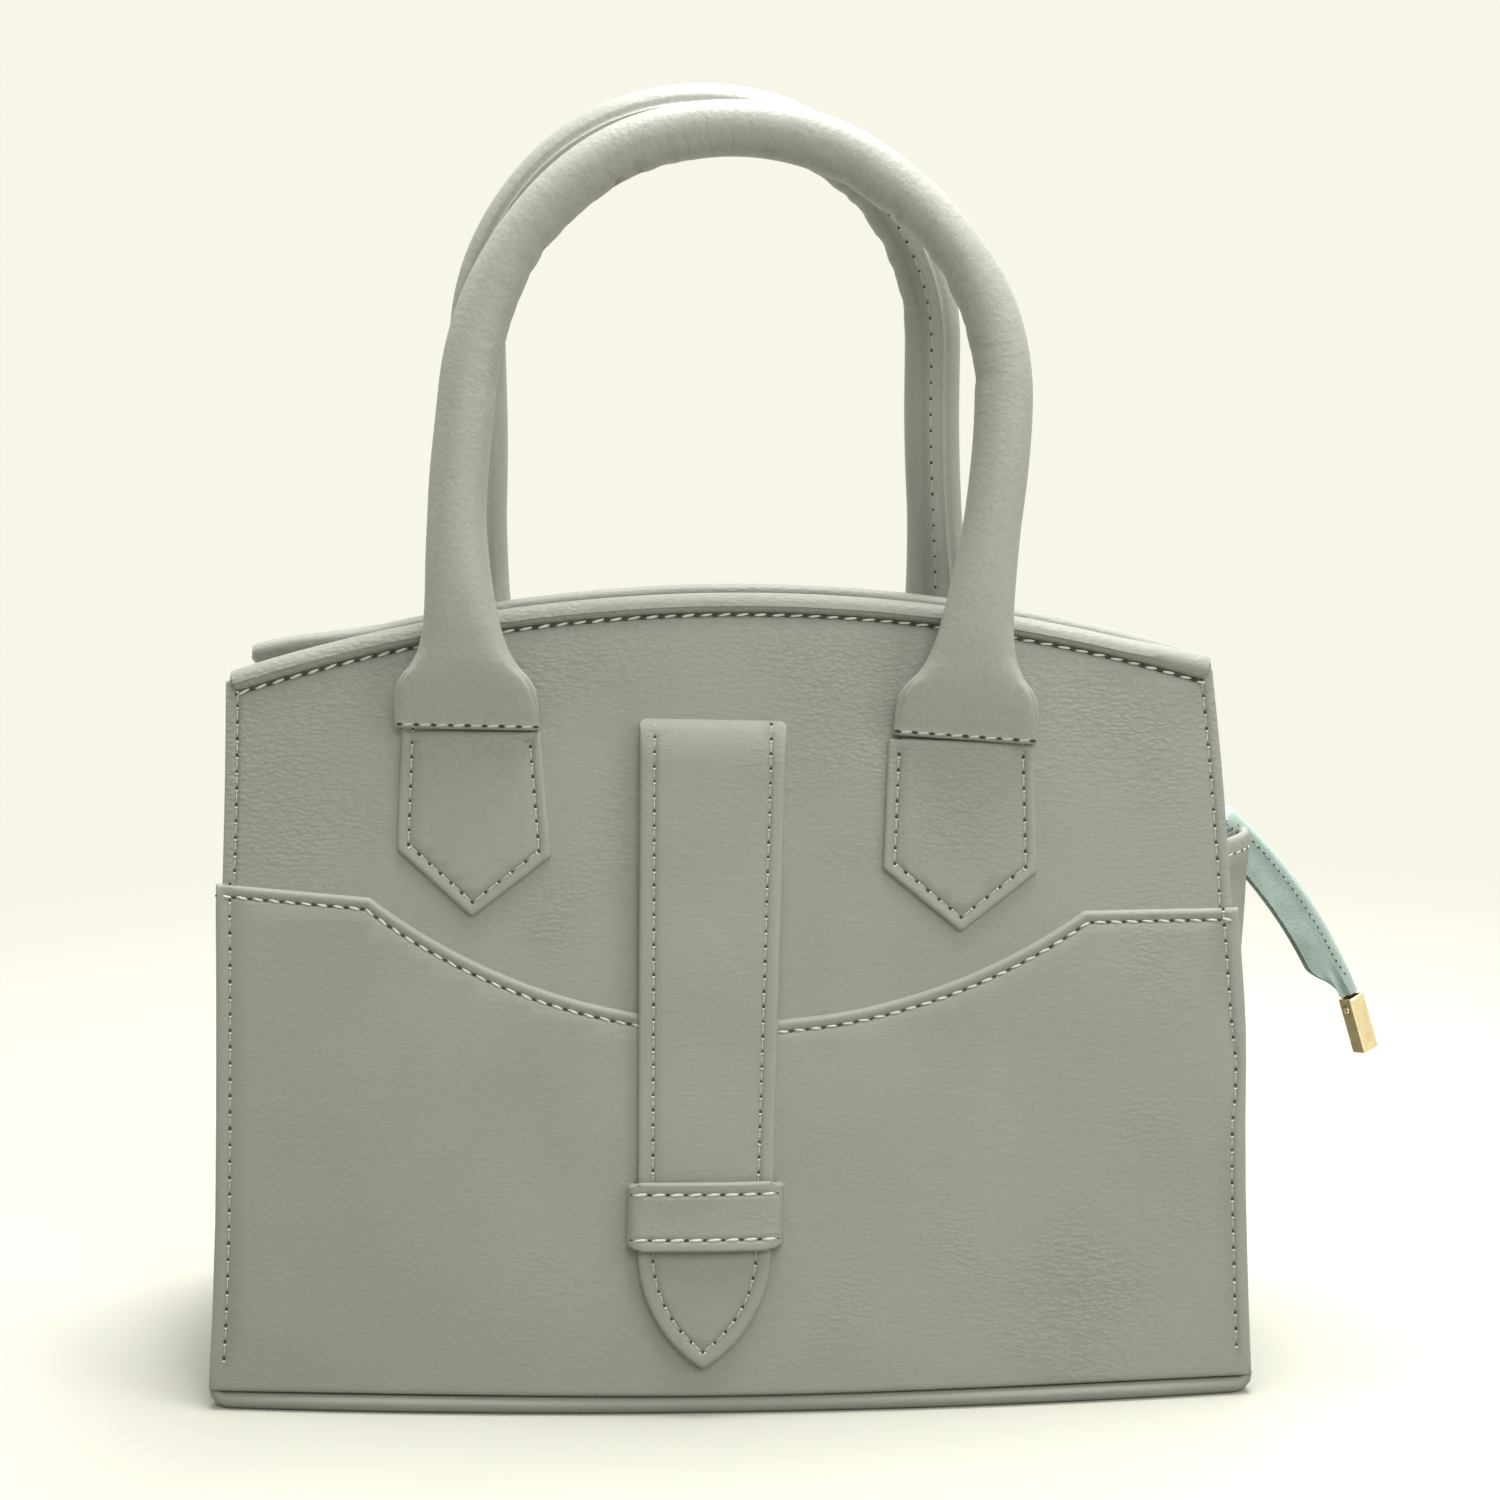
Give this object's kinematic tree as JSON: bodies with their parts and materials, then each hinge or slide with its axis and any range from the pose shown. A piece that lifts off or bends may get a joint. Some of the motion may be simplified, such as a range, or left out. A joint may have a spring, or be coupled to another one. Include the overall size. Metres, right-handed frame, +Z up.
{
  "type": "top handle bag",
  "caption": "Structured trapezoid leather handbag with rolled top handles, front overlay, strap and keeper, and a recessed zip.",
  "frame": {"origin": "on the floor below the middle of the base", "axes": "+X to the right of the front, +Y from the front to the rear, +Z up"},
  "size_m": [0.3049, 0.1238, 0.3288],
  "materials": {
    "leather": "grey-green, fine pebble grain, satin",
    "handle_leather": "grey-green, smooth, satin",
    "lining": "fine twill, matte",
    "board": "pressed fibre board, raw",
    "core": "twisted cotton rope",
    "zip_tape": "fine woven tape, teal",
    "zip_coil": "nylon coil, teal",
    "gold": "polished pale gold plating"
  },
  "bodies": {
    "root": {"front_panel": "leather", "rear_panel": "leather", "left_gusset": "leather", "right_gusset": "leather", "base_panel": "leather", "front_overlay": "leather", "front_top_binding": "leather", "rear_top_binding": "leather", "front_piping": "leather", "rear_piping": "leather", "front_board": "board", "rear_board": "board", "base_board": "board", "front_lining": "lining", "rear_lining": "lining", "left_lining": "lining", "right_lining": "lining", "base_lining": "lining", "strap": "leather", "strap_keeper": "leather", "front_left_tab": "leather", "front_right_tab": "leather", "rear_left_tab": "leather", "rear_right_tab": "leather", "front_zip_facing": "leather", "rear_zip_facing": "leather", "zip_end_tapes": "zip_tape", "zip_end_coils": "zip_coil", "zip_top_stops": "gold"},
    "front_handle": {"front_handle_cover": "handle_leather", "front_handle_core": "core"},
    "rear_handle": {"rear_handle_cover": "handle_leather", "rear_handle_core": "core"},
    "front_flap": {"front_flap_facing": "leather", "front_flap_tape": "zip_tape", "front_flap_coil": "zip_coil"},
    "rear_flap": {"rear_flap_facing": "leather", "rear_flap_tape": "zip_tape", "rear_flap_coil": "zip_coil"},
    "slider": {"zip_slider": "gold"},
    "puller": {"zip_puller": "gold"},
    "tail": {"zip_tail": "zip_tape", "zip_tail_coil": "zip_coil", "end_clamp": "gold", "clamp_screw": "gold"}
  },
  "joints": [
    {"name": "front_handle_swing", "type": "hinge", "parent": "root", "child": "front_handle", "pos_m": [-0.0018, -0.02493, 0.16603], "axis": [0.9995, -0.004, -0.0312], "range_deg": [0, 125]},
    {"name": "rear_handle_swing", "type": "hinge", "parent": "root", "child": "rear_handle", "pos_m": [-0.0036, 0.02483, 0.16602], "axis": [-1, 0, 0], "range_deg": [0, 125]},
    {"name": "front_flap_fold", "type": "hinge", "parent": "root", "child": "front_flap", "pos_m": [0, -0.02, 0.141], "axis": [1, 0, 0], "range_deg": [0, 72]},
    {"name": "rear_flap_fold", "type": "hinge", "parent": "root", "child": "rear_flap", "pos_m": [0, 0.02, 0.141], "axis": [-1, 0, 0], "range_deg": [0, 72]},
    {"name": "slider_travel", "type": "slide", "parent": "root", "child": "slider", "axis": [1, 0, 0], "range_m": [0, 0.2088]},
    {"name": "puller_swing", "type": "hinge", "parent": "slider", "child": "puller", "pos_m": [-0.1044, 0, 0.1453], "axis": [0, 1, 0], "range_deg": [0, 180]},
    {"name": "tail_swing", "type": "hinge", "parent": "root", "child": "tail", "pos_m": [0.13077, 0, 0.1399], "axis": [0, -1, 0], "range_deg": [0, 100]}
  ]
}
